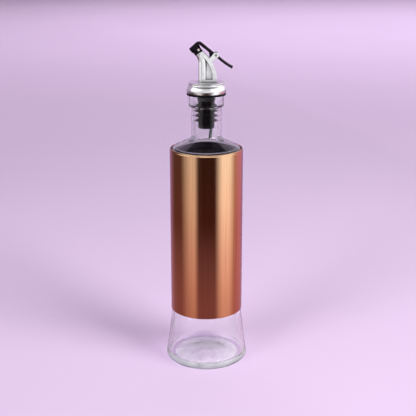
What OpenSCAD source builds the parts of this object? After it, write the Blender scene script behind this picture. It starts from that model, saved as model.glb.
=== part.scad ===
// Half-litre glass oil bottle with a metal sleeve and a lever-capped pourer.
// Millimetres, +Z up. The origin is the centre of the ring the bottle stands on.
// The pourer's spout leans towards -X, and its thumb lever reaches out towards +X.

/* [Glass] */
// Height of the glass, from the table to its lip
glass_height = 235.5; // [232:0.1:242]
// Diameter of the glass under the sleeve
body_d = 60.6; // [59:0.1:60.8]
// Widest diameter, just above the heel
base_d = 71; // [68:0.5:76]
// Height at which the flared base has narrowed to the body
flare_top = 49.5; // [44:0.5:54]
// Thickness of the side wall
wall = 2.3; // [1.8:0.1:3]
// Thickness of the glass under the contents
floor_t = 6.5; // [5:0.5:10]
// Outer diameter of the neck
neck_d = 25.5; // [25:0.1:27]
// Outer diameter of the ring around the mouth
finish_d = 29.2; // [28:0.1:30]
// Height of the ring around the mouth
finish_h = 9.5; // [8:0.1:12]
// Diameter of the straight bore that takes the stopper
bore_d = 18.8; // [18.4:0.1:19.2]

/* [Sleeve] */
// Outer diameter of the metal sleeve
sleeve_d = 62; // [61.8:0.1:63]
// Height of the sleeve's lower edge
sleeve_z = 46.8; // [46:0.1:50]
// Length of the sleeve
sleeve_h = 143.8; // [120:0.1:144]
// Thickness of the sheet
sleeve_t = 0.5; // [0.4:0.05:0.6]
// Height of each adhesive band that holds the sleeve
band_h = 12; // [8:1:20]

/* [Stopper] */
// Diameter of the rubber flange that sits on the lip
flange_d = 33; // [31:0.1:33.4]
// Thickness of the rubber flange
flange_t = 1.3; // [1:0.1:2]
// Diameter of the rubber between its ribs
stopper_d = 13.8; // [13.4:0.1:15]
// Number of sealing ribs
rib_count = 4; // [3:1:5]
// Diameter of the two channels' core
core_d = 11.2; // [11:0.1:11.8]
// Diameter of the air tube
air_tube_d = 2.5; // [2:0.1:2.8]

/* [Pourer] */
// Largest diameter of the collar
collar_d = 32.8; // [32:0.1:34]
// Height of the collar
collar_h = 9.2; // [8.8:0.1:9.6]
// Outer diameter of the pouring tube
tube_d = 7.2; // [7:0.1:7.6]
// Diameter of the pouring channel
channel_d = 5.2; // [4.6:0.1:5.4]
// How far the spout's mouth leans from upright
mouth_tilt = 40; // [36:1:44]
// Width of the lever's arm
lever_w = 5.4; // [5:0.1:6.4]
// Thickness of the lever's arm
arm_t = 2.4; // [2:0.1:2.6]
// Thickness of the lever's thumb tail
tail_t = 2; // [1.6:0.1:2.2]
// Diameter of the hinge pin
pin_d = 1.8; // [1.6:0.1:2]

/* [Hidden] */

$fn = 96;
running = 0.05;         // radial clearance of parts that turn on each other
gap = 0.1;              // clearance between faces that part or slide
eps = 0.5;              // how far a cut runs past a face

body_r = body_d / 2;
base_r = base_d / 2;
neck_r = neck_d / 2;
finish_r = finish_d / 2;
bore_r = bore_d / 2;

heel_r = 5.5;           // rounding between the flare and the underside
push_up = 2.5;          // rise of the underside inside the standing ring
ring_w = 5.5;           // width of the flat ring that the bottle stands on
ring_fade = 6;          // width over which the underside rises inside that ring
foot_wall = 2.9;        // thickness of the wall just above the floor
floor_rise = 1;         // how much thicker the floor is in the middle
flare_power = 1.45;     // how quickly the flare straightens
shoulder_angle = 23.5;  // slope of the shoulder, from level
shoulder_r = 6;         // rounding where the body meets the shoulder
neck_fillet = 5;        // rounding where the shoulder meets the neck
shoulder_z = 186.9;     // where the body starts to turn in

// Points along an arc in the plane of an outline.
function arc(c, r, a0, a1, n) =
    [for (i = [0:n]) c + r * [cos(a0 + (a1 - a0) * i / n), sin(a0 + (a1 - a0) * i / n)]];

// Radius of the flared foot, t going from 0 at the heel to 1 at the body.
function flare_r(t, foot, top) = top + (foot - top) * pow(1 - t, flare_power);

function flare(foot, top, z0, z1, n) =
    [for (i = [0:n]) [flare_r(i / n, foot, top), z0 + (z1 - z0) * i / n]];

// Body rounding, sloping shoulder and neck fillet, from the body up to the neck.
function shoulder(r_body, r_edge, r_neck, r_fillet, z_body) =
    let (
        rise = 90 - shoulder_angle,
        edge = arc([r_body - r_edge, z_body], r_edge, 0, rise, 10),
        top = edge[10],
        foot_x = r_neck + r_fillet * (1 - sin(shoulder_angle)),
        foot_z = top.y + (top.x - foot_x) * tan(shoulder_angle),
        fillet_c = [r_neck + r_fillet, foot_z + r_fillet * cos(shoulder_angle)]
    )
    concat(edge, arc(fillet_c, r_fillet, 270 - shoulder_angle, 180, 8));

// Clear glass: thick floor, flared foot, straight body, shoulder, neck and mouth ring.
module glass_bottle() {
    inner_r = body_r - wall;
    inner_foot = base_r - foot_wall;
    ring_r = base_r - heel_r;
    finish_z = glass_height - finish_h;
    finish_step = 0.9;  // height of the slope under the mouth ring
    lip = 0.7;          // rounding of the mouth's edges
    inside_r = 1.6;     // rounding inside, between the floor and the wall
    outside = concat(
        [[0, push_up], [ring_r - ring_w - ring_fade, push_up * 0.6], [ring_r - ring_w, 0]],
        arc([ring_r, heel_r], heel_r, -90, 0, 10),
        flare(base_r, body_r, heel_r, flare_top, 16),
        shoulder(body_r, shoulder_r, neck_r, neck_fillet, shoulder_z),
        [[neck_r, finish_z - finish_step]],
        arc([finish_r - lip, finish_z + lip], lip, -90, 0, 4),
        arc([finish_r - lip, glass_height - lip], lip, 0, 90, 5)
    );
    inside = concat(
        [[0, floor_t + floor_rise]],
        arc([inner_foot - inside_r, floor_t + inside_r], inside_r, -90, 0, 8),
        flare(inner_foot, inner_r, floor_t + inside_r, flare_top, 14),
        shoulder(inner_r, shoulder_r - wall, bore_r, neck_fillet + wall, shoulder_z),
        arc([bore_r + lip, glass_height - lip], lip, 180, 90, 5)
    );
    color([0.86, 0.92, 0.9, 0.35]) rotate_extrude($fn = 160)
        polygon(concat(outside, [for (i = [len(inside) - 1:-1:0]) inside[i]]));
}

sleeve_r = sleeve_d / 2;
sleeve_inner_r = sleeve_r - sleeve_t;

// Thin copper-coloured tube with a narrow rolled bead at its upper edge.
module metal_sleeve() {
    bead_r = 0.45;      // radius of the rolled edge
    sleeve_top = sleeve_z + sleeve_h;
    color([0.72, 0.42, 0.27]) rotate_extrude($fn = 160) {
        translate([sleeve_inner_r, sleeve_z]) square([sleeve_t, sleeve_h - bead_r]);
        translate([sleeve_r - bead_r, sleeve_top - bead_r]) circle(bead_r, $fn = 24);
    }
}

// Clear double-sided band between the glass and the sleeve.
module adhesive_band(z) {
    color([0.9, 0.9, 0.85, 0.5]) translate([0, 0, z]) rotate_extrude($fn = 160)
        translate([body_r, 0]) square([sleeve_inner_r - body_r, band_h]);
}

band_margin = 6;        // distance from the bands to the shoulder and to the flare

module upper_adhesive_band() adhesive_band(shoulder_z - band_h - band_margin);

module lower_adhesive_band() adhesive_band(flare_top + band_margin);

core_r = core_d / 2;
stopper_r = stopper_d / 2;
stopper_bottom = glass_height - 22.4;
flange_top = glass_height + flange_t;
rib_r = bore_r - running;
rib_top_z = glass_height - 8.6;     // height of the uppermost rib's edge
rib_pitch = 4.15;
rib_edge = 0.2;         // half the thickness of a rib's edge
rib_neck = 0.5;         // half its thickness just inside the edge
rib_root = 1;           // half its thickness at the root

// A skirt-like rib, with a thin edge that bears on the bore.
function rib(z) = [
    [stopper_r, z + rib_root], [rib_r - rib_neck, z + rib_neck], [rib_r, z + rib_edge],
    [rib_r, z - rib_edge], [rib_r - rib_neck, z - rib_neck], [stopper_r, z - rib_root]
];

// Black rubber plug: a flange on the lip, a tapered throat and a stack of ribs.
module stopper() {
    flange_r = flange_d / 2;
    edge = 0.4;         // chamfer of the flange
    throat_r = bore_r - 0.35;
    throat_end = glass_height - 1.2;
    taper = [stopper_r + 0.9, glass_height - 3.2];
    taper_end = glass_height - 5.6;
    outline = concat(
        [
            [core_r + running, flange_top], [flange_r - edge, flange_top],
            [flange_r, flange_top - edge], [flange_r, glass_height + edge],
            [flange_r - edge, glass_height + running], [throat_r, glass_height + running],
            [throat_r, throat_end], taper, [stopper_r, taper_end]
        ],
        [for (i = [0:rib_count - 1]) each rib(rib_top_z - i * rib_pitch)],
        [[stopper_r, stopper_bottom], [core_r + running, stopper_bottom]]
    );
    color([0.05, 0.05, 0.055]) rotate_extrude() polygon(outline);
}

head_r = 6.8;           // radius of the core's lower head, which holds the rubber up
head_h = 5.2;           // height of that head
disc_r = 13;            // radius of the disc on top of the core, inside the collar
disc_top = flange_top + 2.8;
pour_x = -2;            // offset of the pouring channel in the core
air_x = 3.9;            // offset of the air channel in the core
air_r = air_tube_d / 2;
air_channel_r = air_r - 0.35;
air_bore_r = air_r - 0.45;
air_exit_x = 4.1;       // where the leaning tube crosses the core's lower face
air_tilt = 7;           // lean of the air tube
air_length = 14;
air_socket = 4.5;       // how far the air tube is pushed into the core
core_bottom = stopper_bottom - gap - head_h;

// Places its children on the leaning air tube's axis, the origin where the tube leaves the core.
module at_air_tube() {
    translate([air_exit_x, 0, core_bottom]) rotate([0, air_tilt, 0]) children();
}

// Hard black core: two channels, a head below the rubber and a disc above it.
module pour_core() {
    edge = 0.9;         // rounding of the head's lower edge
    chamfer = 0.6;      // chamfer of the head's upper edge
    air_floor = 2;      // from the head's lower face to the foot of the air channel
    color([0.08, 0.08, 0.09]) difference() {
        rotate_extrude() polygon(concat(
            [[0, core_bottom]],
            arc([head_r - edge, core_bottom + edge], edge, -90, 0, 6),
            [
                [head_r, core_bottom + head_h - chamfer], [head_r - chamfer, core_bottom + head_h],
                [core_r, core_bottom + head_h], [core_r, flange_top + gap],
                [disc_r, flange_top + gap], [disc_r, disc_top], [0, disc_top]
            ]
        ));
        translate([pour_x, 0, core_bottom - eps])
            cylinder(d = channel_d, h = disc_top - core_bottom + 2 * eps, $fn = 48);
        translate([air_x, 0, core_bottom + air_floor])
            cylinder(r = air_channel_r, h = disc_top - core_bottom, $fn = 32);
        at_air_tube() translate([0, 0, -eps]) cylinder(r = air_r, h = air_socket + eps, $fn = 32);
    }
}

// Thin breather tube, cut slanting at its lower end.
module air_tube() {
    tip_slant = 38;     // slant of the cut, from square
    cut = 12;           // size of the block that makes the cut
    color([0.35, 0.36, 0.36]) at_air_tube() translate([0, 0, air_socket - air_length]) difference() {
        cylinder(r = air_r, h = air_length, $fn = 32);
        translate([0, 0, -eps]) cylinder(r = air_bore_r, h = air_length + 2 * eps, $fn = 32);
        rotate([0, -tip_slant, 0]) translate([-cut / 2, -cut / 2, -cut]) cube(cut);
    }
}

collar_r = collar_d / 2;
collar_z = flange_top + 0.3;
collar_top = collar_z + collar_h;
foot_r = 9.6;           // radius of the spout's round foot in the collar
foot_flange_r = 11;     // radius of the flange that the collar holds down
foot_flange_top = disc_top + 2;

// Plated ring: a fat bead below, a groove, a fine bead above and a flat top.
module collar() {
    bead_r = 6.9;       // radius of the fat bead's face
    fine_r = 0.65;      // radius of the fine bead
    lower = -19;        // where the fat bead's face starts and ends, from level
    upper = 37;
    edge = 0.3;         // slopes at the fat bead's two edges
    bead_c = [collar_r - bead_r, collar_z - bead_r * sin(lower) + edge];
    fine_c = [collar_r - 1.85, collar_top - fine_r];
    groove_r = collar_r - 1.5;
    outline = concat(
        [
            [disc_r + gap, foot_flange_top], [disc_r + gap, collar_z],
            [bead_c.x + bead_r * cos(lower) - edge, collar_z]
        ],
        arc(bead_c, bead_r, lower, upper, 10),
        [[groove_r, bead_c.y + bead_r * sin(upper) + edge], [groove_r, fine_c.y - fine_r]],
        arc(fine_c, fine_r, -60, 90, 8),
        [[foot_r, collar_top], [foot_r, foot_flange_top]]
    );
    color([0.78, 0.78, 0.8]) rotate_extrude() polygon(outline);
}

tube_r = tube_d / 2;
channel_r = channel_d / 2;
tube_x = -3;            // offset of the pouring tube
bend_z = 261.6;         // where the tube starts to bend
bend_r = 13.2;          // radius of the tube's bend, on its axis
rim_h = 0.9;            // height of the slightly wider rim at the mouth
rim_proud = 0.15;       // how far that rim stands out from the tube
spout_back = 8.7;       // offset of the back rib's outer face at the foot
rib_t = 3.3;            // thickness of the back rib, seen from the side
rib_w = tube_d - 0.3;   // width of the back rib and across the ears
rib_bend_r = 28.6;      // radius of the back rib's outer face
rib_bend_z = 248.4;     // where the back rib starts to bend
web_t = 3.2;            // thickness of the web between the tube and the rib
plinth_h = 2.2;         // height of the spout's block on the collar
vent_z = collar_top + 2.6;          // height of the air vent in the back rib

// Centre of the mouth, which is also the origin of the cap.
mouth = [tube_x - bend_r * (1 - cos(mouth_tilt)), bend_z + bend_r * sin(mouth_tilt)];

// Middle of the rim, where the web and the rib end inside it.
rim_mid = mouth - rim_h / 2 * [-sin(mouth_tilt), cos(mouth_tilt)];

// Hinge axis of the lever, above and behind the spout.
pivot = [7.9, 268.4];
ear_r = 2.5;            // radius of the ears around the pin
ear_t = 1.4;            // thickness of one ear
ear_w = 4.3;            // width of an ear where it leaves the spout
ear_angle = 228;        // direction from the pin to the spout
ear_length = 6.5;       // length of the ear's straight part
ear_inset = 0.15;       // how far the ear's straight edge lies inside its round end
side_play = 0.15;       // play of the lever's hub between the ears
hub_w = rib_w - 2 * ear_t - 2 * side_play;

// Extrudes an outline drawn in the X-Z plane to a width centred on Y = 0.
module plate(w) {
    rotate([90, 0, 0]) linear_extrude(w, center = true) children();
}

// Places its children at the mouth, their +Z along the way the oil leaves.
module at_mouth() {
    translate([mouth.x, 0, mouth.y]) rotate([0, -mouth_tilt, 0]) children();
}

// The pouring tube as a solid of radius r, from z0 up through its bend.
module tube_path(r, z0, bend) {
    translate([tube_x, 0, z0]) cylinder(r = r, h = bend_z - z0, $fn = 48);
    translate([tube_x - bend_r, 0, bend_z]) rotate([90, 0, 0])
        rotate_extrude(angle = bend, $fn = 96) translate([bend_r, 0]) circle(r, $fn = 48);
}

// Outer face of the back rib, from the foot up to the mouth, inset by t.
function back_face(t) =
    let (
        c = [spout_back - rib_bend_r, rib_bend_z],
        bend = arc(c, rib_bend_r - t, 0, mouth_tilt, 12),
        tip = rim_mid + (tube_r - gap - t) * [cos(mouth_tilt), sin(mouth_tilt)]
    )
    concat([[spout_back - t, collar_top - gap]], bend, [tip]);

module back_rib_outline() {
    inner = back_face(rib_t);
    polygon(concat(back_face(0), [for (i = [len(inner) - 1:-1:0]) inner[i]]));
}

module web_outline() {
    polygon(concat(back_face(rib_t / 2), [rim_mid, [tube_x, bend_z], [tube_x, collar_top - gap]]));
}

module ear_outline() {
    translate(pivot) circle(ear_r, $fn = 48);
    translate(pivot) rotate(ear_angle) translate([0, ear_inset - ear_r])
        square([ear_length, ear_w - ear_inset]);
}

// Plated spout: foot, pouring tube, web and back rib, with two ears for the lever.
module spout() {
    seat_h = 0.4;       // depth of the bevelled seat for the cap's seal
    turn_in = 1;        // angle by which the tube's wall ends inside the rim
    turn_out = 4;       // angle by which the channel runs on past the mouth
    color([0.82, 0.82, 0.84]) difference() {
        union() {
            translate([0, 0, disc_top]) cylinder(r = foot_flange_r, h = foot_flange_top - disc_top);
            translate([0, 0, disc_top]) cylinder(r = foot_r, h = collar_top - disc_top);
            plate(rib_w) translate([tube_x, collar_top - gap])
                square([spout_back - tube_x, plinth_h + gap]);
            tube_path(tube_r, collar_top - gap, mouth_tilt - turn_in);
            at_mouth() translate([0, 0, -rim_h])
                cylinder(r = tube_r + rim_proud, h = rim_h, $fn = 48);
            plate(rib_w) back_rib_outline();
            plate(web_t) web_outline();
            for (side = [-1, 1])
                translate([0, side * (rib_w - ear_t) / 2, 0]) plate(ear_t) ear_outline();
        }
        tube_path(channel_r, disc_top - eps, mouth_tilt + turn_out);
        at_mouth() translate([0, 0, -seat_h])
            cylinder(r1 = channel_r - gap, r2 = channel_r + seat_h, h = seat_h + gap, $fn = 48);
        translate([air_x, 0, disc_top - eps])
            cylinder(r = air_channel_r, h = vent_z + 2 * eps - disc_top, $fn = 32);
        translate([air_x, 0, vent_z]) rotate([0, 90, 0])
            cylinder(r = air_bore_r, h = spout_back, $fn = 32);
        translate([pivot.x, 0, pivot.y]) rotate([90, 0, 0])
            cylinder(d = pin_d, h = rib_w + 2 * eps, center = true, $fn = 32);
    }
}

// Steel pin through both ears, its ends just below their faces.
module hinge_pin() {
    recess = 0.15;      // depth of the pin's ends below the ears' faces
    color([0.3, 0.3, 0.32]) translate([pivot.x, 0, pivot.y]) rotate([90, 0, 0])
        cylinder(d = pin_d, h = rib_w - 2 * recess, center = true, $fn = 32);
}

// Closed band of thickness t along a line of points.
module band(points, t) {
    n = len(points);
    way = [for (i = [0:n - 1]) points[min(i + 1, n - 1)] - points[max(i - 1, 0)]];
    side = [for (w = way) [-w.y, w.x] / norm(w) * t / 2];
    polygon(concat(
        [for (i = [0:n - 1]) points[i] + side[i]],
        [for (i = [n - 1:-1:0]) points[i] - side[i]]
    ));
}

cap_top = 6.6;          // height of the strap's middle over the mouth, at the cap
skirt_r = 3.7;          // radius of the cap's skirt
shell_r = 4.3;          // radius of the cap's wider upper part
strap_reach = 3.9;      // how far the strap runs past the cap's axis
seal_r = 2.9;           // radius of the seal's pocket
seal_h = 3.6;           // depth of the seal's pocket
arm_angle = 141;        // direction of the arm, from the pin to the cap's corner
arm_length = 15.4;      // from the pin to the start of the bend over the cap
arm_drop = 0.6;         // how far the arm's middle passes below the pin
corner_r = 2.6;         // radius of that bend, on the strap's middle
tail_r = 65;            // radius of the tail's gentle upward curve
tail_angle = -44;       // direction in which the tail leaves the pin
tail_sweep = 15;        // how far the tail turns along its length
hub_r = 2.15;
hub_reach = 5.5;        // how far the hub's narrow part runs along the arm
ear_room = 0.6;         // room around the ears in the arm

// Outline of the gusset under the arm, beside the pin, along and across the arm.
gusset = [[0, -0.2], [5.4, -0.2], [5.4, 2.4], [3.1, 4.5], [2, 4.5], [0, 2]];

// Middle line of the arm: from the pin, around the bend and over the cap.
function arm_line() =
    let (
        along = [cos(arm_angle), sin(arm_angle)],
        start = pivot + arm_length * along + arm_drop * [-along.y, along.x],
        c = start + corner_r * [-along.y, along.x],
        bend = arc(c, corner_r, arm_angle - 90, mouth_tilt + 90, 8),
        out = [-sin(mouth_tilt), cos(mouth_tilt)],
        end = mouth + cap_top * out - strap_reach * [out.y, -out.x]
    )
    concat([pivot + arm_drop * [-along.y, along.x]], bend, [end]);

function tail_line() =
    let (c = pivot + tail_r * [-sin(tail_angle), cos(tail_angle)])
    arc(c, tail_r, tail_angle - 90, tail_angle + tail_sweep - 90, 8);

// Black lever: cap, arm, hub and thumb tail in one moulding.
module lever() {
    pad_w = 6.4;        // width of the thumb tail
    pad_start = 5.2;    // distance from the pin where the tail widens
    window = 1.9;       // size of the window in the skirt that shows the seal
    window_x = 0.8;     // its place on the skirt, across and up from the mouth
    window_z = 1.3;
    step_z = 2.9;       // height over the mouth at which the cap widens
    step_h = 0.6;       // height of the slope there
    shell_h = 3.6;      // height of the wider part
    coil_room = 0.4;    // room around the hub for the spring's coil
    color([0.03, 0.03, 0.035]) difference() {
        union() {
            difference() {
                plate(lever_w) band(arm_line(), arm_t);
                translate([pivot.x, 0, pivot.y]) rotate([90, 0, 0])
                    cylinder(r = ear_r + ear_room, h = lever_w + eps, center = true, $fn = 48);
            }
            plate(hub_w) intersection() {
                band(arm_line(), arm_t);
                translate(pivot) circle(hub_reach, $fn = 48);
            }
            translate([pivot.x, 0, pivot.y]) rotate([90, 0, 0])
                cylinder(r = hub_r, h = hub_w, center = true, $fn = 48);
            plate(hub_w) translate(pivot) rotate(arm_angle) polygon(gusset);
            plate(hub_w) band(tail_line(), tail_t);
            difference() {
                plate(pad_w) band(tail_line(), tail_t);
                translate([pivot.x, 0, pivot.y]) rotate([90, 0, 0])
                    cylinder(r = pad_start, h = pad_w + eps, center = true, $fn = 48);
            }
            at_mouth() translate([0, 0, gap]) cylinder(r = skirt_r, h = cap_top, $fn = 64);
            at_mouth() translate([0, 0, step_z])
                cylinder(r1 = skirt_r, r2 = shell_r, h = step_h, $fn = 64);
            at_mouth() translate([0, 0, step_z + step_h])
                cylinder(r = shell_r, h = shell_h, $fn = 64);
        }
        at_mouth() cylinder(r = seal_r, h = seal_h, $fn = 48);
        at_mouth() translate([window_x, -skirt_r - eps, window_z])
            cube([window, 2 * (skirt_r + eps), window]);
        translate([pivot.x, 0, pivot.y]) rotate([90, 0, 0])
            cylinder(d = pin_d + 2 * running, h = hub_w + eps, center = true, $fn = 32);
        translate([pivot.x, 0, pivot.y]) rotate([90, 0, 0])
            cylinder(r = hub_r + coil_room, h = spring_slot, center = true, $fn = 48);
    }
}

// Pale silicone plug in the cap, with a shallow dome that closes the mouth.
module cap_seal() {
    dome_h = 0.5;
    color([0.85, 0.83, 0.76]) at_mouth() rotate_extrude($fn = 64) polygon([
        [0, -dome_h], [channel_r * 0.6, -dome_h * 0.7], [channel_r - gap, gap],
        [seal_r, gap], [seal_r, seal_h], [0, seal_h]
    ]);
}

wire_r = 0.2;           // radius of the spring's wire
wire_sides = 6;
coil_r = 1.35;          // radius of the coil, on the wire's axis
coil_turns = 3;         // the legs take up a quarter turn of the last one
coil_pitch = 0.45;
coil_steps = 14;        // points in one turn
spring_slot = 1.9;      // width of the slot in the hub that holds the coil
spout_leg = [-132, 6];  // direction and length of the leg that bears on the spout
tail_leg = [-42, 4.2];  // direction and length of the leg that lifts the tail

// Middle line of the spring's wire, in X, Y, Z: leg, coil, leg.
function spring_line() =
    let (
        steps = coil_steps * coil_turns,
        width = coil_pitch * coil_turns,
        start = spout_leg[0] + 90,
        sweep = tail_leg[0] - spout_leg[0] - 180 + 360 * coil_turns,
        coil = [for (i = [0:steps]) let (a = start + sweep * i / steps)
            [pivot.x + coil_r * cos(a), width * (i / steps - 0.5), pivot.y + coil_r * sin(a)]],
        first = coil[0] + spout_leg[1] * [cos(spout_leg[0]), 0, sin(spout_leg[0])],
        last = coil[steps] + tail_leg[1] * [cos(tail_leg[0]), 0, sin(tail_leg[0])]
    )
    concat([first], coil, [last]);

// Sweeps a small round wire along a line that runs mostly around the Y axis.
module wire(line, r, sides) {
    n = len(line);
    way = [for (i = [0:n - 1])
        let (w = line[min(i + 1, n - 1)] - line[max(i - 1, 0)]) w / norm(w)];
    across = [for (w = way) let (s = cross(w, [0, 1, 0])) s / norm(s)];
    points = [for (i = [0:n - 1]) for (k = [0:sides - 1])
        let (up = cross(across[i], way[i]), a = 360 * k / sides)
        line[i] + r * (cos(a) * across[i] + sin(a) * up)];
    walls = [for (i = [0:n - 2]) for (k = [0:sides - 1])
        let (m = (k + 1) % sides)
        [i * sides + k, i * sides + m, (i + 1) * sides + m, (i + 1) * sides + k]];
    ends = [[for (k = [sides - 1:-1:0]) k], [for (k = [0:sides - 1]) (n - 1) * sides + k]];
    polyhedron(points, concat(walls, ends));
}

// Torsion spring around the pin that turns the lever shut.
module lever_spring() {
    color([0.7, 0.7, 0.72]) wire(spring_line(), wire_r, wire_sides);
}

glass_bottle();
metal_sleeve();
upper_adhesive_band();
lower_adhesive_band();
stopper();
pour_core();
air_tube();
collar();
spout();
hinge_pin();
lever_spring();
lever();
cap_seal();
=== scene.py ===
"""Looks of a glass oil bottle with a metal sleeve and a lever-capped pourer.

Everything is in metres in the CAD frame: the bottle stands on z = 0 and its axis is the z axis.
Outlines are written in millimetres, as (radius, height), and turned into metres by lathe().
"""
import math

import bmesh
import bpy
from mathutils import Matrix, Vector


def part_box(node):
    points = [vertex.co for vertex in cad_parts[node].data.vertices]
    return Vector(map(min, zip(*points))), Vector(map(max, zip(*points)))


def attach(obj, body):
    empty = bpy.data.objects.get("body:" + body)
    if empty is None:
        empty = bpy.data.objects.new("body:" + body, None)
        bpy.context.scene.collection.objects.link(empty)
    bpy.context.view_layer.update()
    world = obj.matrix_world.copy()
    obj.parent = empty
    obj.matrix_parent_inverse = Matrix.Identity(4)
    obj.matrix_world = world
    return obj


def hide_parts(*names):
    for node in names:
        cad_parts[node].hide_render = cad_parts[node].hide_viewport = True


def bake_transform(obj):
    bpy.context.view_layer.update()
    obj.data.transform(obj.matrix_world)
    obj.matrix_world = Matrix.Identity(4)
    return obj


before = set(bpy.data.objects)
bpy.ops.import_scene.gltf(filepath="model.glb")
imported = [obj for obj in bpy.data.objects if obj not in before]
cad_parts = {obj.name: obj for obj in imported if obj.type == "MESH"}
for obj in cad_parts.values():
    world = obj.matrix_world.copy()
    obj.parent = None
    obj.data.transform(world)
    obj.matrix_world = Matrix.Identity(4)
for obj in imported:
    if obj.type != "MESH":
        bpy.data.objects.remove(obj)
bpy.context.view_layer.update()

MM = 0.001

# Camera: the photograph's viewing angle, from slightly above and square to the pourer.
IMAGE_PX = 416
FOCAL_PX = 950
SENSOR_MM = 36
CAMERA_PITCH = 16.4
CAMERA_POSITION = (0.0014, -0.785, 0.3682)

# The floor, which reflections inside the glass see dark on the camera's side: it is pale beyond
# PALE_FLOOR_Y and fully dark in front of DARK_FLOOR_Y.
FLOOR_SIZE = 14
FLOOR_COLOUR = (0.81, 0.655, 0.88)
DARK_FLOOR = (0.02, 0.015, 0.02)
PALE_FLOOR_Y = -0.05
DARK_FLOOR_Y = -0.25

# The room: its light fades from the horizon's colour to the ceiling's between two heights of view,
# given as the upward part of a direction.
HORIZON_COLOUR = (0.54, 0.45, 0.60)
CEILING_COLOUR = (0.10, 0.085, 0.11)
HORIZON_END = 0.25
CEILING_START = 0.6
ROOM_STRENGTH = 0.7

# Light is reflected this often before it is lost, which the glass's thick heel needs to stay clear.
GLASS_BOUNCES = 12

# Lamps.
MIDDLE = Vector((0, 0, 0.14))
BEHIND = Vector((0, 0.3, 0))
GRID_SPREAD = 70
LAMP_HEIGHT = 2.5
PINK_WHITE = (1.0, 0.93, 1.0)
FAR_LAMPS = {"softbox_far_left": (-4.2, 0), "softbox_far_right": (4.2, 0), "softbox_far_front": (0, -4)}

# Rings of cards round the bottle, one above the other.
CARD_RADIUS = 0.15
CARD_ROWS = 30
CARDS_FOOT = -0.04
BEAD_CARDS_Z = 0.212
COLLAR_CARDS_Z = 0.226
SPOUT_CARDS_Z = 0.25
CARDS_TOP = 0.36
# Paints no floor reflection into the cards' dark parts, at any height.
NO_FLOOR_REFLECTION = [(0.0, (0.0, 0.0, 0.0)), (1.0, (0.0, 0.0, 0.0))]

# Colours of the cards, and of the room that shows between them.
BRIGHT_CARD = (1.3, 1.3, 1.3)
WHITE_CARD = (1.1, 1.1, 1.13)
PALE_CARD = (0.95, 0.95, 0.97)
SOFT_CARD = (0.70, 0.64, 0.61)
HALF_CARD = (0.7, 0.7, 0.7)
DIM_CARD = (0.35, 0.35, 0.36)
BLACK_CARD = (0.02, 0.008, 0.007)
SHADE = (0.08, 0.04, 0.035)
WARM_EDGE = (0.44, 0.26, 0.21)
PLUM = (0.54, 0.24, 0.37)
ROOM = (0.34, 0.20, 0.42)
LILAC = (0.62, 0.47, 0.68)
MAUVE = (0.36, 0.28, 0.40)

# Zones of the glass: the distance from its axis, or the height, where each ends and where it is full.
FROST_EDGE_R = (0.0285, 0.0265)
FROST_EDGE_Z = (0.0045, 0.0035)
WAVY_EDGE_R = (0.031, 0.026)
WAVY_EDGE_Z = (0.012, 0.009)

# The glass's shadow is light below the first height and deeper above the second.
FOOT_SHADOW_Z = (0.008, 0.016)


# ---------------------------------------------------------------- outlines and meshes

def arc(cx, cz, r, start, end, steps):
    """Points along an arc, its angles in degrees."""
    angles = [math.radians(start + (end - start) * i / steps) for i in range(steps + 1)]
    return [(cx + r * math.cos(a), cz + r * math.sin(a)) for a in angles]


def new_piece(name, bm, sharp_angle):
    """A smooth-shaded object from a bmesh, its edges sharp above that many degrees."""
    bmesh.ops.recalc_face_normals(bm, faces=bm.faces)
    mesh = bpy.data.meshes.new(name)
    bm.to_mesh(mesh)
    bm.free()
    mesh.shade_smooth()
    mesh.set_sharp_from_angle(angle=math.radians(sharp_angle))
    piece = bpy.data.objects.new(name, mesh)
    bpy.context.scene.collection.objects.link(piece)
    return piece


def lathe(name, outline, steps=192, sharp_angle=35):
    """Turns a closed outline in millimetres about the z axis into a closed mesh."""
    bm = bmesh.new()
    rings = []
    for r, z in outline:
        if r < 1e-6:
            rings.append([bm.verts.new((0, 0, z * MM))])
            continue
        angles = [2 * math.pi * k / steps for k in range(steps)]
        rings.append([bm.verts.new((r * math.cos(a) * MM, r * math.sin(a) * MM, z * MM)) for a in angles])
    for i, ring in enumerate(rings):
        join_rings(bm, ring, rings[(i + 1) % len(rings)], steps)
    return new_piece(name, bm, sharp_angle)


def join_rings(bm, ring, other, steps):
    """Faces between two neighbouring rings, either of which may be a single pole."""
    if len(ring) == 1 and len(other) == 1:
        return
    for k in range(steps):
        m = (k + 1) % steps
        corners = [ring[k % len(ring)], ring[m % len(ring)], other[m % len(other)], other[k % len(other)]]
        bm.faces.new(list(dict.fromkeys(corners)))


# ---------------------------------------------------------------- materials

# Blender's noise runs from 0 to 1, but nearly all of it lies between these.
NOISE_LOW = 0.3
NOISE_HIGH = 0.7


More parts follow.
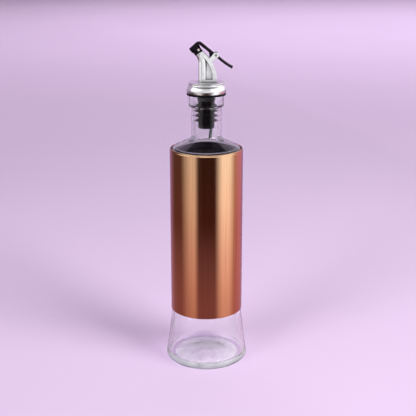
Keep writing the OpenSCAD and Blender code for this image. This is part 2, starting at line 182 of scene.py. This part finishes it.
class Look:
    """One procedural material: a Principled shader with noise behind its sockets."""

    def __init__(self, name, **sockets):
        self.material = bpy.data.materials.new(name)
        self.material.use_nodes = True
        self.tree = self.material.node_tree
        self.shader = self.tree.nodes["Principled BSDF"]
        self.coords = self.tree.nodes.new("ShaderNodeTexCoord").outputs["Object"]
        self.normal = None
        for socket, value in sockets.items():
            self.shader.inputs[socket.replace("_", " ")].default_value = value

    def add(self, kind, inputs=(), **settings):
        """A new node: inputs are values or sockets to link, settings are its own properties."""
        node = self.tree.nodes.new(kind)
        for key, value in settings.items():
            setattr(node, key, value)
        for socket, value in dict(inputs).items():
            if isinstance(value, bpy.types.NodeSocket):
                self.tree.links.new(value, node.inputs[socket])
            else:
                node.inputs[socket].default_value = value
        return node

    def noise(self, size_mm, stretch=(1, 1, 1), detail=3.0, roughness=0.55):
        """Soft noise whose spots are about size_mm across, drawn out where stretch is above 1."""
        scale = [1 / (size_mm * MM * s) for s in stretch]
        place = self.add("ShaderNodeMapping", {"Vector": self.coords, "Scale": scale})
        inputs = {"Vector": place.outputs["Vector"], "Scale": 1.0, "Detail": detail, "Roughness": roughness}
        return self.add("ShaderNodeTexNoise", inputs).outputs["Fac"]

    def height(self, low, high):
        """0 at the height low and 1 at the height high, in metres."""
        z = self.add("ShaderNodeSeparateXYZ", {"Vector": self.coords}).outputs["Z"]
        return self.between(z, 0, 1, low, high)

    def radius(self, low, high):
        """0 at the distance low from the z axis and 1 at the distance high, in metres."""
        flat = self.add("ShaderNodeVectorMath", {0: self.coords, 1: (1, 1, 0)}, operation="MULTIPLY")
        reach = self.add("ShaderNodeVectorMath", {0: flat.outputs["Vector"]}, operation="LENGTH")
        return self.between(reach.outputs["Value"], 0, 1, low, high)

    def both(self, one, other):
        """The product of two values."""
        return self.add("ShaderNodeMath", {0: one, 1: other}, operation="MULTIPLY").outputs["Value"]

    def between(self, value, low, high, source_low=NOISE_LOW, source_high=NOISE_HIGH):
        """The value, brought from its source range to the range from low to high."""
        inputs = {
            "Value": value,
            "From Min": source_low,
            "From Max": source_high,
            "To Min": low,
            "To Max": high,
        }
        return self.add("ShaderNodeMapRange", inputs).outputs["Result"]

    def ramp(self, factor, stops):
        """A colour ramp: stops are (position, colour) pairs."""
        node = self.add("ShaderNodeValToRGB", {"Fac": factor})
        elements = node.color_ramp.elements
        while len(elements) < len(stops):
            elements.new(1)
        for element, (position, colour) in zip(elements, stops):
            element.position = position
            element.color = (*colour, 1)
        return node.outputs["Color"]

    def tones(self, noise, one, other):
        """One colour where the noise is low, the other where it is high."""
        return self.ramp(noise, [(NOISE_LOW, one), (NOISE_HIGH, other)])

    def mix(self, factor, one, other, blend="MIX"):
        """Two colours mixed by a factor, each of the three a value or a socket."""
        node = self.add("ShaderNodeMix", data_type="RGBA", blend_type=blend)
        for socket, value in zip((0, 6, 7), (factor, one, other)):
            if isinstance(value, bpy.types.NodeSocket):
                self.tree.links.new(value, node.inputs[socket])
            else:
                node.inputs[socket].default_value = value if socket == 0 else (*value, 1)
        return node.outputs[2]

    def bump(self, height, depth_mm, strength):
        """Roughens the surface by a height, on top of the bumps it already has."""
        inputs = {"Height": height, "Distance": depth_mm * MM, "Strength": strength}
        if self.normal:
            inputs["Normal"] = self.normal
        self.normal = self.add("ShaderNodeBump", inputs).outputs["Normal"]
        self.set("Normal", self.normal)

    def set(self, socket, value):
        """Links a node's output to one of the shader's sockets."""
        self.tree.links.new(value, self.shader.inputs[socket])


def clear_glass():
    """Clear soda-lime glass: mould waves, a frosted underside, and pale green where it is thick.

    Lamps shine through it as through a filter, so that it throws a soft shadow and no caustics.
    """
    look = Look("clear_glass", Transmission_Weight=1.0, IOR=1.5)
    tint = look.noise(30)
    look.set("Base Color", look.tones(tint, (0.985, 0.995, 0.99), (1.0, 1.0, 1.0)))
    frosted = look.both(look.radius(*FROST_EDGE_R), look.height(*FROST_EDGE_Z))
    patches = look.noise(9, detail=4)
    look.set("Roughness", look.both(frosted, look.between(patches, 0.10, 0.30)))
    look.set("Transmission Weight", look.between(look.both(frosted, patches), 1.0, 0.55, 0.0, 0.5))
    look.bump(look.noise(14, detail=1), 0.03, 0.35)
    wavy = look.both(look.radius(*WAVY_EDGE_R), look.height(*WAVY_EDGE_Z))
    look.bump(look.both(wavy, look.noise(11, detail=2)), 0.6, 0.6)
    volume = look.add("ShaderNodeVolumeAbsorption", {"Color": (0.72, 0.86, 0.80, 1), "Density": 14.0})
    output = look.tree.nodes["Material Output"]
    look.tree.links.new(volume.outputs["Volume"], output.inputs["Volume"])
    path = look.add("ShaderNodeLightPath")
    dimmed = look.mix(look.height(*FOOT_SHADOW_Z), (0.84, 0.81, 0.84), (0.68, 0.64, 0.70))
    clear = look.add("ShaderNodeBsdfTransparent", {"Color": dimmed})
    shadow = look.add("ShaderNodeMixShader", {
        0: path.outputs["Is Shadow Ray"],
        1: look.shader.outputs["BSDF"],
        2: clear.outputs["BSDF"],
    })
    look.tree.links.new(shadow.outputs["Shader"], output.inputs["Surface"])
    return look.material


def copper_steel(low, high):
    """Brushed steel in a copper colour that runs from red at the foot to brass at the top."""
    look = Look("copper_steel", Metallic=1.0)
    finish = look.ramp(look.height(low, high), [
        (0.0, (0.60, 0.215, 0.125)),
        (0.17, (0.70, 0.27, 0.153)),
        (0.43, (0.82, 0.38, 0.222)),
        (0.70, (0.95, 0.525, 0.31)),
        (1.0, (0.965, 0.62, 0.375)),
    ])
    fine = look.noise(0.8, stretch=(1, 1, 90), detail=5)
    broad = look.noise(2.4, stretch=(1, 1, 60), detail=2)
    streaks = look.tones(fine, (0.82, 0.79, 0.77), (1.0, 1.0, 1.0))
    look.set("Base Color", look.mix(1.0, finish, streaks, "MULTIPLY"))
    look.set("Roughness", look.between(broad, 0.11, 0.17))
    look.bump(fine, 0.004, 0.5)
    return look.material


def sleeve_inside_painted_shade():
    """The sleeve's unpolished inner face, its colour painted near-black as painted shade for the little
    light that reaches inside.
    """
    look = Look("sleeve_inside_painted_shade", Metallic=0.4, Specular_IOR_Level=0.2)
    cloud = look.noise(5, stretch=(1, 1, 3))
    # Painted shade: the inner face is coloured near-black, as the dim inside of the sleeve would leave it.
    look.set("Base Color", look.tones(cloud, (0.006, 0.004, 0.007), (0.016, 0.011, 0.018)))
    look.set("Roughness", look.between(cloud, 0.45, 0.6))
    look.bump(cloud, 0.01, 0.3)
    return look.material


def plating():
    """Satin silver plating over a casting, with painted shade that darkens its hollows."""
    look = Look("satin_plating", Metallic=1.0)
    cloud = look.noise(3.5)
    bright = look.tones(cloud, (0.88, 0.875, 0.90), (0.95, 0.95, 0.96))
    # Painted shade: the colour turns grey-black where ambient occlusion finds a hollow.
    hollow = look.add("ShaderNodeAmbientOcclusion", {"Distance": 0.004}, samples=12).outputs["AO"]
    look.set("Base Color", look.mix(look.between(hollow, 0, 1, 0.35, 0.95), (0.16, 0.17, 0.17), bright))
    look.set("Roughness", look.between(cloud, 0.28, 0.21))
    look.bump(look.noise(1.1, detail=4), 0.02, 0.35)
    look.bump(look.noise(0.12, detail=2), 0.002, 0.4)
    return look.material


BLACK = (0.003, 0.003, 0.004)
PLUM_BLACK = (0.003, 0.002, 0.004)


def moulded_black(name, colour, rough, grain_mm, grain_depth):
    """Black rubber or plastic: slightly uneven gloss, faint grain and dust-grey patches."""
    look = Look(name, IOR=1.5, Specular_IOR_Level=0.12)
    patch = look.noise(4)
    lighter = tuple(c * 1.8 + 0.001 for c in colour)
    look.set("Base Color", look.ramp(patch, [(0.35, colour), (0.75, lighter)]))
    look.set("Roughness", look.between(look.noise(2.2, detail=4), rough[0], rough[1]))
    look.bump(look.noise(grain_mm, detail=3), grain_depth, 0.5)
    return look.material


def grey_tube():
    """Smoky plastic with faint draw lines along the tube."""
    look = Look("grey_tube", Transmission_Weight=0.3, IOR=1.45)
    along = look.noise(1.4, stretch=(1, 1, 6))
    look.set("Base Color", look.tones(along, (0.05, 0.06, 0.055), (0.12, 0.14, 0.13)))
    look.set("Roughness", look.between(along, 0.22, 0.38))
    look.bump(along, 0.01, 0.4)
    return look.material


def bright_steel(name, colour, roughness):
    """Drawn steel: fine lines along the wire or pin."""
    look = Look(name, Metallic=1.0)
    lines = look.noise(0.25, stretch=(1, 8, 1), detail=4)
    darker = tuple(c * 0.8 for c in colour)
    look.set("Base Color", look.tones(lines, darker, colour))
    look.set("Roughness", look.between(lines, roughness, roughness + 0.1))
    look.bump(lines, 0.003, 0.5)
    return look.material


def silicone():
    """Pale silicone with a matt skin."""
    look = Look("silicone")
    cloud = look.noise(1.5)
    look.set("Base Color", look.tones(cloud, (0.42, 0.39, 0.33), (0.55, 0.52, 0.45)))
    look.set("Roughness", look.between(cloud, 0.38, 0.5))
    look.bump(look.noise(0.3), 0.005, 0.4)
    return look.material


def adhesive():
    """Clear film, its diffuse part painted dark as painted shade of the sleeve behind it."""
    look = Look("clear_adhesive", Transmission_Weight=0.9, IOR=1.47)
    cloud = look.noise(6, detail=5)
    # Painted shade: the film's own colour is near-black, as the dim gap between glass and sleeve would
    # leave it.
    look.set("Base Color", look.tones(cloud, (0.05, 0.045, 0.045), (0.10, 0.09, 0.09)))
    look.set("Roughness", look.between(cloud, 0.25, 0.5))
    look.bump(cloud, 0.02, 0.4)
    return look.material


def floor_material():
    """Pale lilac paper, dark on the camera's side for the reflections inside the glass."""
    look = Look("floor", Specular_IOR_Level=0.15)
    cloud = look.noise(400, detail=2)
    lighter = tuple(min(1, c * 1.015) for c in FLOOR_COLOUR)
    pale = look.tones(cloud, FLOOR_COLOUR, lighter)
    path = look.add("ShaderNodeLightPath")
    reflected = look.between(path.outputs["Glossy Depth"], 0, 1, 0, 1)
    place = look.add("ShaderNodeSeparateXYZ", {"Vector": look.coords})
    in_front = look.between(place.outputs["Y"], 0, 1, PALE_FLOOR_Y, DARK_FLOOR_Y)
    look.set("Base Color", look.mix(look.both(reflected, in_front), pale, DARK_FLOOR))
    look.set("Roughness", look.between(cloud, 0.62, 0.7))
    return look.material


# ---------------------------------------------------------------- the bottle

glass_low, glass_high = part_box("glass_bottle")
sleeve_low, sleeve_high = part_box("metal_sleeve")
flange_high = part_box("stopper")[1]
collar_low, collar_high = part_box("collar")

# The glass, in millimetres.
GLASS_TOP = glass_high.z / MM
BASE_R = -glass_low.x / MM
BODY_R = 30.3
WALL = 2.3
NECK_R = 12.75
FINISH_R = 14.6
FINISH_H = 9.5
FINISH_STEP = 1.2
FINISH_FILLET = 0.9
BORE_R = 9.4
FLARE_TOP = 49.5
FLARE_POWER = 1.45
HEEL_R = 5.5
PUSH_UP = 2.5
RING_W = 1.5
HOLLOW_STEPS = 24
FLOOR_T = 6.5
DOME_R = 30
DOME_H = 1
DOME_STEP = 2
INSIDE_R = 1.6
FOOT_WALL = 2.9
SHOULDER_Z = 186.9
SHOULDER_ANGLE = 23.5
SHOULDER_R = 6
NECK_FILLET = 5
LIP_R = 0.7


def flare(foot, top, z0, z1, steps):
    """The flared foot, from radius foot at z0 to radius top at z1."""
    points = []
    for i in range(steps + 1):
        t = i / steps
        points.append((top + (foot - top) * (1 - t) ** FLARE_POWER, z0 + (z1 - z0) * t))
    return points


def shoulder(r_body, r_edge, r_neck, r_fillet):
    """Body rounding, sloping shoulder and neck fillet, from the body up to the neck."""
    edge = arc(r_body - r_edge, SHOULDER_Z, r_edge, 0, 90 - SHOULDER_ANGLE, 20)
    slope = math.radians(SHOULDER_ANGLE)
    foot_r = r_neck + r_fillet * (1 - math.sin(slope))
    foot_z = edge[-1][1] + (edge[-1][0] - foot_r) * math.tan(slope)
    centre = (r_neck + r_fillet, foot_z + r_fillet * math.cos(slope))
    return edge + arc(*centre, r_fillet, 270 - SHOULDER_ANGLE, 180, 20)


def glass_outline():
    """The glass in section: the hollow underside, the outside, and the inside back to the axis."""
    ring_r = BASE_R - HEEL_R
    inner_r = BODY_R - WALL
    inner_foot = BASE_R - FOOT_WALL
    finish_z = GLASS_TOP - FINISH_H
    hollow_r = ring_r - RING_W
    hollow = [math.pi * i / HOLLOW_STEPS for i in range(HOLLOW_STEPS + 1)]
    underside = [(hollow_r * a / math.pi, PUSH_UP * (1 + math.cos(a)) / 2) for a in hollow]
    outside = (
        arc(ring_r, HEEL_R, HEEL_R, -90, 0, 28)
        + flare(BASE_R, BODY_R, HEEL_R, FLARE_TOP, 48)[1:]
        + shoulder(BODY_R, SHOULDER_R, NECK_R, NECK_FILLET)
        + arc(NECK_R + FINISH_FILLET, finish_z - FINISH_STEP, FINISH_FILLET, 180, 130, 4)
        + arc(FINISH_R - LIP_R, finish_z + LIP_R, LIP_R, -70, 0, 6)
        + arc(FINISH_R - LIP_R, GLASS_TOP - LIP_R, LIP_R, 0, 90, 8)
    )
    dome = [(r, FLOOR_T + DOME_H - DOME_H * (r / DOME_R) ** 2) for r in range(0, DOME_R, DOME_STEP)]
    inside = (
        dome
        + arc(inner_foot - INSIDE_R, FLOOR_T + INSIDE_R, INSIDE_R, -90, 0, 20)
        + flare(inner_foot, inner_r, FLOOR_T + INSIDE_R, FLARE_TOP, 40)[1:]
        + shoulder(inner_r, SHOULDER_R - WALL, BORE_R, NECK_FILLET + WALL)
        + arc(BORE_R + LIP_R, GLASS_TOP - LIP_R, LIP_R, 180, 90, 8)
    )
    return underside + outside + inside[::-1]


# The sleeve: its sheet, the rounding of its lower edge, and the bead at the top.
SHEET = 0.5
EDGE_R = 0.12
ROLL_R = 0.4
ROLL_INSET = 0.35
# A face looks at the axis if this much of its normal points there.
FACES_AXIS = 0.9


def sleeve_outline():
    """Thin sheet with a rounded lower edge, whose top slopes inwards to a rolled bead."""
    low, top, outer = sleeve_low.z / MM, sleeve_high.z / MM, sleeve_high.x / MM
    inner = outer - SHEET
    slope_foot = top - 1.6
    foot = [(inner, low)] + arc(outer - EDGE_R, low + EDGE_R, EDGE_R, -90, 0, 4)
    wall = [(outer, low + 0.4), (outer, slope_foot - 0.5), (outer, slope_foot - 0.1)]
    slope = [(outer - 0.04, slope_foot), (outer - ROLL_R, top - 2 * ROLL_R)]
    roll = arc(outer - ROLL_R - ROLL_INSET, top - ROLL_R, ROLL_R, 28, 250, 20)
    back = [(inner - 0.05, top - 3 * ROLL_R), (inner, slope_foot)]
    return foot + wall + slope + roll + back


# The stopper.
STOPPER_BOTTOM = GLASS_TOP - 22.4
STOPPER_R = 6.9
CORE_R = 5.65
THROAT_GAP = 0.35
FLANGE_R = 0.4
FLANGE_GAP = 0.05
RIB_TOP_Z = GLASS_TOP - 8.6
RIB_PITCH = 4.15
RIB_COUNT = 4
RIB_PRESS = 0.06
RIB_TIP_R = 0.22


def rib(z):
    """A skirt-like rib that bears on the bore, pressed a little into it so that it reads as contact."""
    reach = BORE_R + RIB_PRESS
    blade_r = reach - 0.6
    above = [(STOPPER_R, z + 1.1), (STOPPER_R + 0.35, z + 0.75), (blade_r, z + 0.5)]
    tip = arc(reach - RIB_TIP_R, z, RIB_TIP_R, 60, -60, 6)
    below = [(blade_r, z - 0.45), (STOPPER_R, z - 0.9)]
    return above + tip + below


def stopper_outline():
    """A flange on the glass's lip, a taper into the bore and the ribs, round the hole for the core."""
    top, flange_r = flange_high.z / MM, flange_high.x / MM
    throat = BORE_R - THROAT_GAP
    flange = (
        [(CORE_R, top)]
        + arc(flange_r - FLANGE_R, top - FLANGE_R, FLANGE_R, 90, 0, 5)
        + arc(flange_r - FLANGE_R, GLASS_TOP + FLANGE_GAP + FLANGE_R, FLANGE_R, 0, -90, 5)
    )
    taper = [
        (throat, GLASS_TOP + FLANGE_GAP), (throat, GLASS_TOP - 1.2),
        (STOPPER_R + 0.9, GLASS_TOP - 3.2), (STOPPER_R, GLASS_TOP - 5.6),
    ]
    ribs = [point for i in range(RIB_COUNT) for point in rib(RIB_TOP_Z - i * RIB_PITCH)]
    return flange + taper + ribs + [(STOPPER_R, STOPPER_BOTTOM), (CORE_R, STOPPER_BOTTOM)]


def collar_outline():
    """Fat bead below, a groove, a fine bead above and a dished top, recessed underneath."""
    low, top, outer = collar_low.z / MM, collar_high.z / MM, collar_high.x / MM
    bead_r = 6.9
    bead_start, bead_end = -19, 37
    step = 0.3
    bead_z = low - bead_r * math.sin(math.radians(bead_start)) + step
    groove_r = outer - 1.5
    groove_low = bead_z + bead_r * math.sin(math.radians(bead_end)) + step
    fine_r = 0.65
    dish_z = top - 0.08
    recess_r, recess_top, hole_r = 13.1, low + 4.5, 9.6
    return (
        [(recess_r, recess_top), (recess_r, low), (outer - 1.0, low)]
        + arc(outer - bead_r, bead_z, bead_r, bead_start, bead_end, 28)
        + [(groove_r + 0.12, groove_low - 0.2), (groove_r, groove_low), (groove_r, top - 2 * fine_r - 0.1)]
        + arc(outer - 1.85, top - fine_r, fine_r, -70, 90, 14)
        + [(outer - 2.6, dish_z), (hole_r, dish_z), (hole_r, recess_top)]
    )


def line_inside(sleeve, material):
    """Gives the sleeve's inner wall, whose faces look at the axis, its material of painted shade."""
    sleeve.data.materials.append(material)
    for face in sleeve.data.polygons:
        towards_axis = -face.center.xy.normalized()
        if face.normal.xy.dot(towards_axis) > FACES_AXIS:
            face.material_index = 1


def build_bottle(looks):
    """The turned pieces, which replace their coarser CAD solids."""
    turned = [
        ("glass", glass_outline(), "bottle", "glass_bottle", "clear_glass"),
        ("sleeve", sleeve_outline(), "bottle", "metal_sleeve", "copper_steel"),
        ("stopper_rubber", stopper_outline(), "plug", "stopper", "black_rubber"),
        ("collar_ring", collar_outline(), "pourer", "collar", "satin_plating"),
    ]
    for name, outline, body, node, slot in turned:
        piece = lathe(name, outline)
        piece.data.materials.append(looks[slot])
        if name == "sleeve":
            line_inside(piece, looks["sleeve_inside_painted_shade"])
        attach(piece, body)
        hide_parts(node)


# Vertices of a CAD node that lie closer than this, in metres, are one point.
SAME_POINT = 1e-6


def soften(node, voxel_mm, passes):
    """Rounds a CAD node's edges as casting or moulding does, through modifiers alone."""
    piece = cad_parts[node]
    weld = piece.modifiers.new("Weld", "WELD")
    weld.merge_threshold = SAME_POINT
    remesh = piece.modifiers.new("Remesh", "REMESH")
    remesh.mode = "VOXEL"
    remesh.voxel_size = voxel_mm * MM
    remesh.use_smooth_shade = True
    smooth = piece.modifiers.new("Smooth", "SMOOTH")
    smooth.factor = 0.5
    smooth.iterations = passes


def build_spring(material):
    """The torsion spring: a smooth-shaded copy of its CAD node in spring steel, in place of the node."""
    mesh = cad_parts["lever_spring"].data.copy()
    mesh.shade_smooth()
    mesh.materials.clear()
    mesh.materials.append(material)
    spring = bpy.data.objects.new("wound_spring", mesh)
    bpy.context.scene.collection.objects.link(spring)
    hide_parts("lever_spring")
    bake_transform(spring)


def dress_nodes(looks):
    """Gives every carried-over CAD node its material."""
    slots = {
        "upper_adhesive_band": "clear_adhesive",
        "lower_adhesive_band": "clear_adhesive",
        "pour_core": "black_plastic",
        "air_tube": "grey_tube",
        "spout": "satin_plating",
        "hinge_pin": "pin_steel",
        "lever": "gloss_black",
        "cap_seal": "silicone",
    }
    for node, slot in slots.items():
        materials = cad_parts[node].data.materials
        materials.clear()
        materials.append(looks[slot])
    soften("spout", voxel_mm=0.17, passes=4)
    soften("lever", voxel_mm=0.15, passes=3)


# ---------------------------------------------------------------- the studio

def build_floor():
    """The floor, which lights and shadows fall on and reflections on the metal don't see."""
    bm = bmesh.new()
    bmesh.ops.create_grid(bm, x_segments=8, y_segments=8, size=FLOOR_SIZE / 2)
    floor = new_piece("floor", bm, 30)
    floor.data.materials.append(floor_material())
    floor.visible_glossy = False


def card_material():
    """Glows as the card's vertex colours say."""
    look = Look("card", Base_Color=(0, 0, 0, 1), Specular_IOR_Level=0.0, Emission_Strength=1.0)
    glow = look.add("ShaderNodeVertexColor", layer_name="glow")
    look.set("Emission Color", glow.outputs["Color"])
    return look.material


def between_stops(stops, at):
    """The value at a place between (place, value) stops, straight between neighbours."""
    for (place, value), (after, after_value) in zip(stops, stops[1:]):
        if at <= after:
            t = max(0.0, (at - place) / (after - place))
            return Vector(value).lerp(Vector(after_value), t)
    return Vector(stops[-1][1])


def build_card_ring(name, cards, low, high, painted_floor_reflection=NO_FLOOR_REFLECTION):
    """A ring of cards standing all round the bottle, which only reflections see.

    cards gives its colour by azimuth in degrees from the camera's side, growing towards +X, and
    the last argument the painted reflection of the floor that its dark parts get by height.
    """
    bm = bmesh.new()
    glow = bm.verts.layers.float_color.new("glow")
    grid = []
    for azimuth in range(-180, 181):
        lit = between_stops(cards, azimuth)
        a = math.radians(azimuth)
        column = []
        for k in range(CARD_ROWS + 1):
            z = low + (high - low) * k / CARD_ROWS
            vert = bm.verts.new((CARD_RADIUS * math.sin(a), -CARD_RADIUS * math.cos(a), z))
            floor_reflection_here = between_stops(painted_floor_reflection, z)
            vert[glow] = (*(x + max(0.0, 1 - x) * y for x, y in zip(lit, floor_reflection_here)), 1)
            column.append(vert)
        grid.append(column)
    for one, other in zip(grid, grid[1:]):
        for k in range(CARD_ROWS):
            bm.faces.new([one[k], other[k], other[k + 1], one[k + 1]])
    card = new_piece(name, bm, 30)
    card.data.materials.append(card_material())
    card.visible_camera = False
    card.visible_diffuse = False
    card.visible_transmission = False
    card.visible_shadow = False


def build_cards():
    """White and black cards that give the metal its vertical bands, and the pourer its shine."""
    sleeve_cards = [
        (-180, ROOM), (-145, ROOM), (-110, SHADE), (-78, SHADE), (-48, SOFT_CARD), (-34, SOFT_CARD),
        (-22, BLACK_CARD), (25, BLACK_CARD), (46, WHITE_CARD), (70, WHITE_CARD), (92, WARM_EDGE),
        (110, PLUM), (125, PLUM), (140, ROOM), (180, ROOM),
    ]
    # Painted reflection of the floor on the low cards: lilac at floor level, fading to near black 15 cm up.
    floor_glow = [(0.0, (0.31, 0.20, 0.25)), (0.09, (0.04, 0.012, 0.01)), (0.15, (0.015, 0.005, 0.004))]
    build_card_ring("card_low", sleeve_cards, CARDS_FOOT, BEAD_CARDS_Z, floor_glow)
    bead_cards = [
        (-180, DIM_CARD), (-95, DIM_CARD), (-80, PALE_CARD), (-20, PALE_CARD), (5, DIM_CARD),
        (34, DIM_CARD), (46, PALE_CARD), (100, PALE_CARD), (115, DIM_CARD), (180, DIM_CARD),
    ]
    build_card_ring("card_middle", bead_cards, BEAD_CARDS_Z, COLLAR_CARDS_Z)
    collar_cards = [
        (-180, LILAC), (-150, LILAC), (-118, MAUVE), (-104, MAUVE), (-90, PALE_CARD), (-60, PALE_CARD),
        (-45, DIM_CARD), (-25, DIM_CARD), (-8, WHITE_CARD), (120, PALE_CARD), (155, LILAC), (180, LILAC),
    ]
    build_card_ring("card_upper", collar_cards, COLLAR_CARDS_Z, SPOUT_CARDS_Z)
    spout_cards = [
        (-180, LILAC), (-150, LILAC), (-118, MAUVE), (-104, MAUVE), (-92, BRIGHT_CARD), (-40, BRIGHT_CARD),
        (-20, HALF_CARD), (18, HALF_CARD), (36, BRIGHT_CARD), (110, BRIGHT_CARD), (155, LILAC),
        (180, LILAC),
    ]
    build_card_ring("card_top", spout_cards, SPOUT_CARDS_Z, CARDS_TOP)


def build_lamp(name, place, target, size, watts, colour, spread):
    """A rectangular softbox at a place, aimed at a target: size in metres, spread in degrees."""
    data = bpy.data.lights.new(name, "AREA")
    data.shape = "RECTANGLE"
    data.size, data.size_y = size
    data.energy = watts
    data.color = colour
    data.spread = math.radians(spread)
    lamp = bpy.data.objects.new(name, data)
    lamp.location = place
    lamp.rotation_euler = (Vector(place) - Vector(target)).to_track_quat("Z", "Y").to_euler()
    lamp.visible_camera = False
    bpy.context.scene.collection.objects.link(lamp)
    return lamp


def around(azimuth, elevation, distance):
    """A place that far from the bottle's middle, azimuth 0 being the camera's side."""
    a, e = math.radians(azimuth), math.radians(elevation)
    away = Vector((math.sin(a) * math.cos(e), -math.cos(a) * math.cos(e), math.sin(e)))
    return MIDDLE + away * distance


def build_gridded_lamp(name, place, size, watts, colour):
    """A softbox with a grid, aimed past the bottle at the floor behind it."""
    return build_lamp(name, place, BEHIND, size, watts, colour, GRID_SPREAD)


def build_floor_lamp(name, place, size, watts, colour, spread=180):
    """A softbox that hangs over a place on the floor and shines straight down."""
    x, y = place
    lamp = build_lamp(name, (x, y, LAMP_HEIGHT), (x, y, 0), size, watts, colour, spread)
    lamp.visible_transmission = False
    return lamp


def build_lamps():
    """Two gridded softboxes in front of the bottle, and lamps overhead that light the floor evenly.

    No lamp shows in a reflection, so that the metal sees the cards and the room alone.
    """
    lamps = [
        build_gridded_lamp("softbox_right", around(56, 24, 1.5), (1.0, 0.5), 4.7, (1.0, 0.97, 0.96)),
        build_gridded_lamp("softbox_left", around(-43, 24, 1.6), (0.8, 0.5), 2.5, (0.99, 0.98, 1.0)),
        build_floor_lamp("softbox_top", (0.1, 0), (3, 3), 5.0, (0.97, 0.96, 1.0)),
        build_floor_lamp("softbox_back", (1.2, 2.7), (5, 3.4), 62.0, PINK_WHITE, 105),
    ]
    for name, place in FAR_LAMPS.items():
        lamps.append(build_floor_lamp(name, place, (4, 4), 66.0, PINK_WHITE, 100))
    for lamp in lamps:
        lamp.visible_glossy = False


def build_world():
    """Lilac light from low down all round, fading to a dark ceiling, and how it is shown."""
    world = bpy.data.worlds.new("studio")
    world.use_nodes = True
    tree = world.node_tree
    direction = tree.nodes.new("ShaderNodeTexCoord")
    parts = tree.nodes.new("ShaderNodeSeparateXYZ")
    shade = tree.nodes.new("ShaderNodeValToRGB")
    horizon, ceiling = shade.color_ramp.elements
    horizon.position = HORIZON_END
    horizon.color = (*HORIZON_COLOUR, 1)
    ceiling.position = CEILING_START
    ceiling.color = (*CEILING_COLOUR, 1)
    tree.links.new(direction.outputs["Generated"], parts.inputs["Vector"])
    tree.links.new(parts.outputs["Z"], shade.inputs["Fac"])
    background = tree.nodes["Background"].inputs
    tree.links.new(shade.outputs["Color"], background["Color"])
    background["Strength"].default_value = ROOM_STRENGTH
    scene = bpy.context.scene
    scene.world = world
    scene.view_settings.view_transform = "Standard"
    scene.cycles.glossy_bounces = GLASS_BOUNCES


def build_camera():
    """A long lens in front of the bottle, looking down at it a little."""
    data = bpy.data.cameras.new("camera")
    data.sensor_width = SENSOR_MM
    data.lens = FOCAL_PX / IMAGE_PX * SENSOR_MM
    camera = bpy.data.objects.new("camera", data)
    camera.location = CAMERA_POSITION
    camera.rotation_euler = (math.radians(90 - CAMERA_PITCH), 0, 0)
    bpy.context.scene.collection.objects.link(camera)
    bpy.context.scene.camera = camera


# ---------------------------------------------------------------- put together

looks = {
    "clear_glass": clear_glass(),
    "copper_steel": copper_steel(sleeve_low.z, sleeve_high.z),
    "sleeve_inside_painted_shade": sleeve_inside_painted_shade(),
    "clear_adhesive": adhesive(),
    "black_rubber": moulded_black("black_rubber", BLACK, (0.2, 0.3), grain_mm=0.6, grain_depth=0.01),
    "black_plastic": moulded_black("black_plastic", BLACK, (0.15, 0.25), grain_mm=0.8, grain_depth=0.006),
    "grey_tube": grey_tube(),
    "satin_plating": plating(),
    "pin_steel": bright_steel("pin_steel", (0.30, 0.30, 0.32), 0.3),
    "spring_steel": bright_steel("spring_steel", (0.66, 0.66, 0.68), 0.22),
    "gloss_black": moulded_black("gloss_black", PLUM_BLACK, (0.08, 0.15), grain_mm=1.5, grain_depth=0.008),
    "silicone": silicone(),
}
build_camera()
build_bottle(looks)
build_spring(looks["spring_steel"])
dress_nodes(looks)
build_floor()
build_cards()
build_lamps()
build_world()
